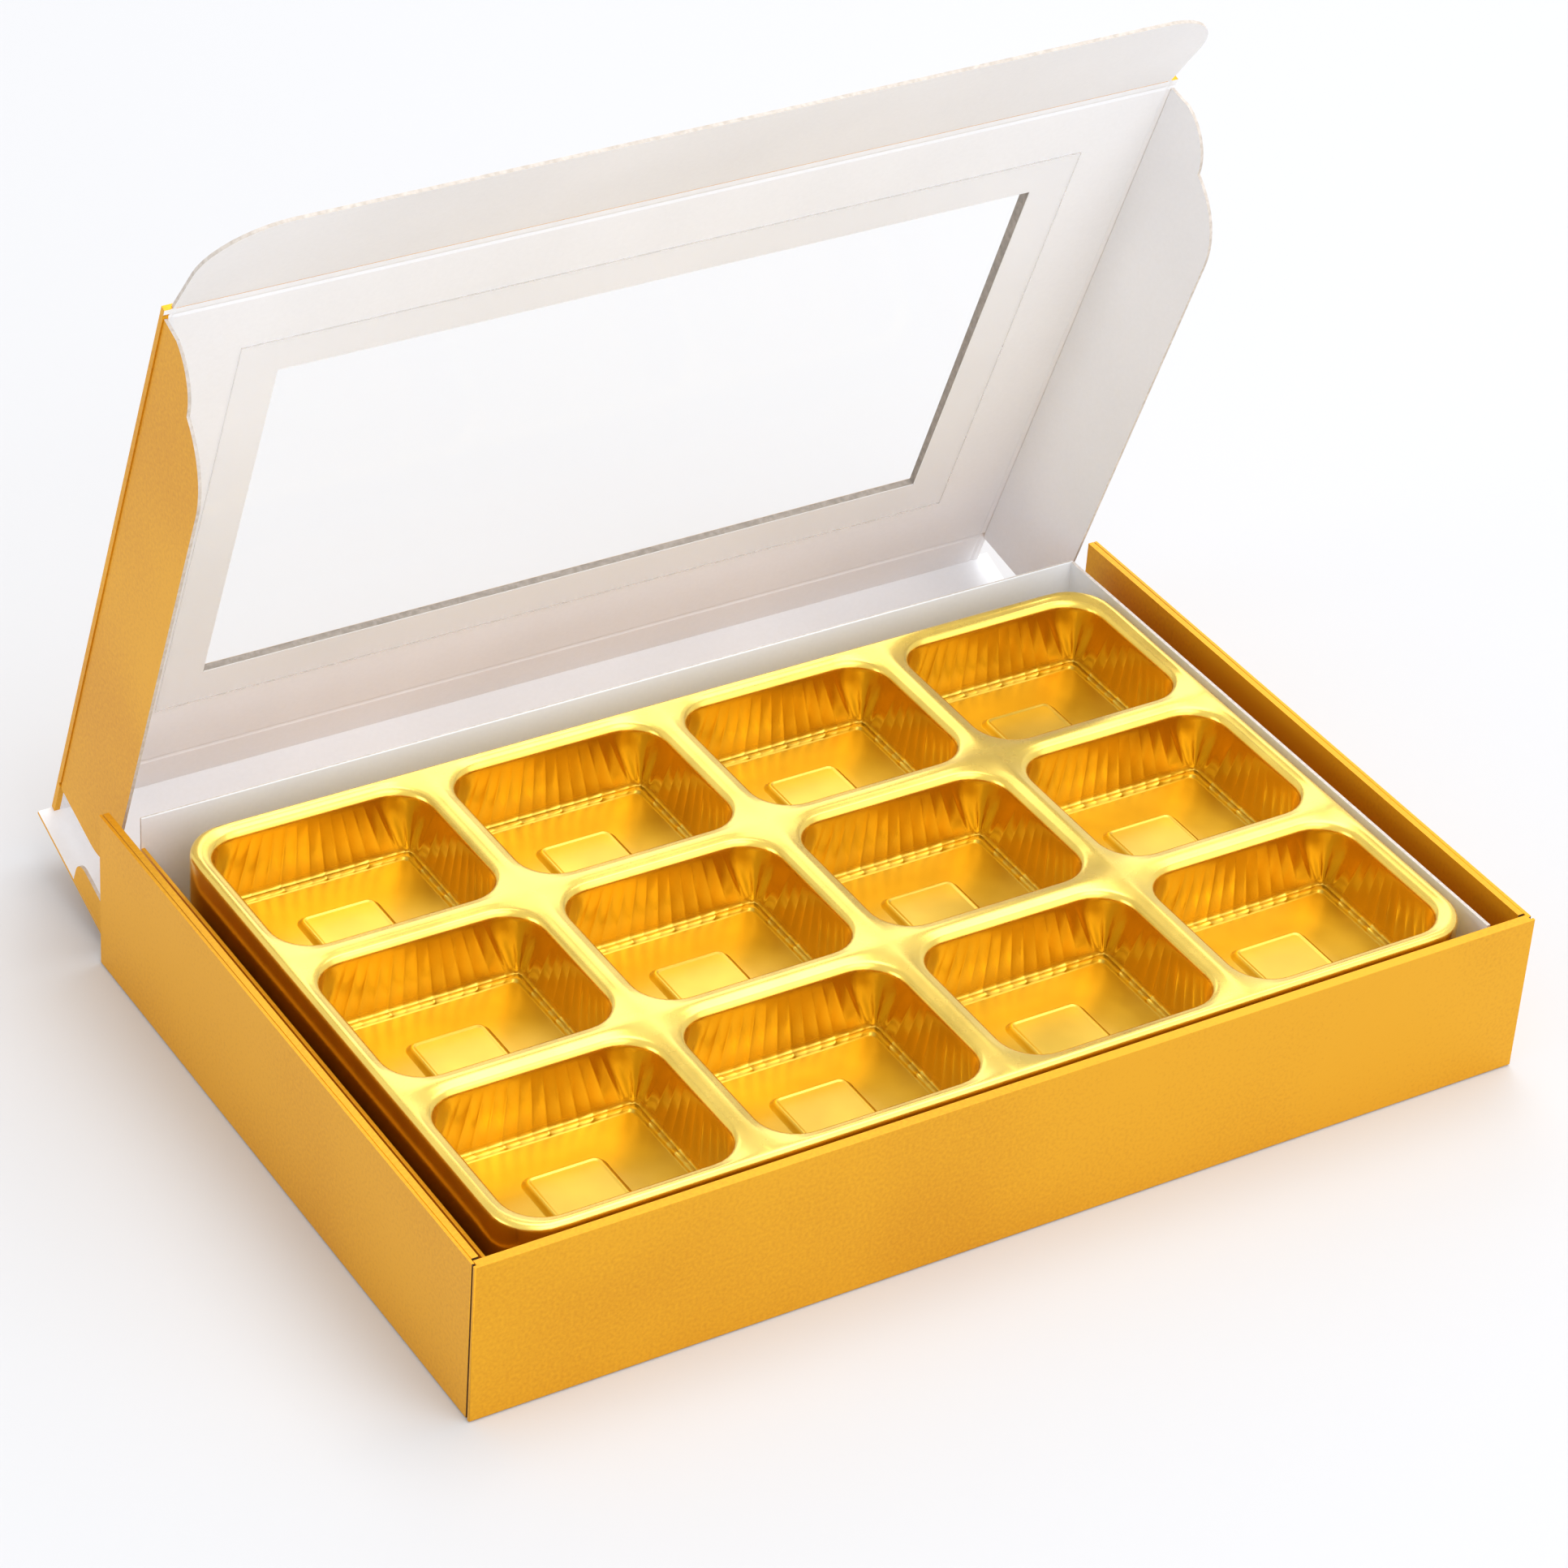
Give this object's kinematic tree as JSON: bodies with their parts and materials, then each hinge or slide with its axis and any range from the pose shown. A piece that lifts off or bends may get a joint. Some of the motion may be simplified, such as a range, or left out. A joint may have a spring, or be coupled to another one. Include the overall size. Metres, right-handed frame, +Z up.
{
  "type": "chocolate box",
  "caption": "Shallow gold paperboard chocolate box with a swinging window lid, tuck flap and ears, and a formed gold tray of fluted cavities.",
  "frame": {"origin": "centre of the base underside, between the outer faces of the walls", "axes": "+X to the right along the front wall, +Y to the back, +Z up"},
  "size_m": [0.165, 0.133, 0.1259],
  "materials": {
    "gold_board": "satin metallic gold face on folding boxboard",
    "cover_board": "white inside, satin metallic gold outside",
    "white_board": "uncoated white inside of the board",
    "clear_film": "clear glossy film",
    "gold_tray": "glossy metallised gold sheet"
  },
  "bodies": {
    "base": {"base_panel": "gold_board", "front_wall_outer": "gold_board", "front_wall_inner": "gold_board", "left_wall_outer": "gold_board", "left_wall_inner": "gold_board", "right_wall_outer": "gold_board", "right_wall_inner": "gold_board", "front_left_glue_tab": "white_board", "front_right_glue_tab": "white_board", "inner_back_wall": "white_board", "inner_left_wing": "white_board", "inner_right_wing": "white_board", "inner_back_foot": "white_board", "tray": "gold_tray"},
    "back": {"back_panel": "cover_board"},
    "lid": {"lid_panel": "cover_board", "window_film": "clear_film"},
    "flap": {"front_flap": "cover_board"},
    "left_ear_body": {"left_ear": "cover_board"},
    "right_ear_body": {"right_ear": "cover_board"},
    "left_tab_body": {"back_left_tab": "cover_board"},
    "right_tab_body": {"back_right_tab": "cover_board"}
  },
  "joints": [
    {"name": "cover_swing", "type": "hinge", "parent": "base", "child": "back", "pos_m": [0, 0.05455, 0.00025], "axis": [-1, 0, 0], "range_deg": [-70, 20]},
    {"name": "lid_fold", "type": "hinge", "parent": "back", "child": "lid", "pos_m": [0, 0.07879, 0.00907], "axis": [-1, 0, 0], "range_deg": [0, 90]},
    {"name": "flap_fold", "type": "hinge", "parent": "lid", "child": "flap", "pos_m": [0, 0.04242, 0.10901], "axis": [1, 0, 0], "range_deg": [-17, 73]},
    {"name": "left_ear_fold", "type": "hinge", "parent": "lid", "child": "left_ear_body", "pos_m": [-0.0778, 0.07879, 0.00907], "axis": [0, -0.342, 0.9397], "range_deg": [-90, 0]},
    {"name": "right_ear_fold", "type": "hinge", "parent": "lid", "child": "right_ear_body", "pos_m": [0.0778, 0.07879, 0.00907], "axis": [0, 0.342, -0.9397], "range_deg": [-81.5, 8.5]},
    {"name": "left_tab_fold", "type": "hinge", "parent": "back", "child": "left_tab_body", "pos_m": [-0.0802, 0.05455, 0.00025], "axis": [0, 0.9397, 0.342], "range_deg": [-90, 0]},
    {"name": "right_tab_fold", "type": "hinge", "parent": "back", "child": "right_tab_body", "pos_m": [0.0802, 0.05455, 0.00025], "axis": [0, -0.9397, -0.342], "range_deg": [-90, 0]}
  ]
}
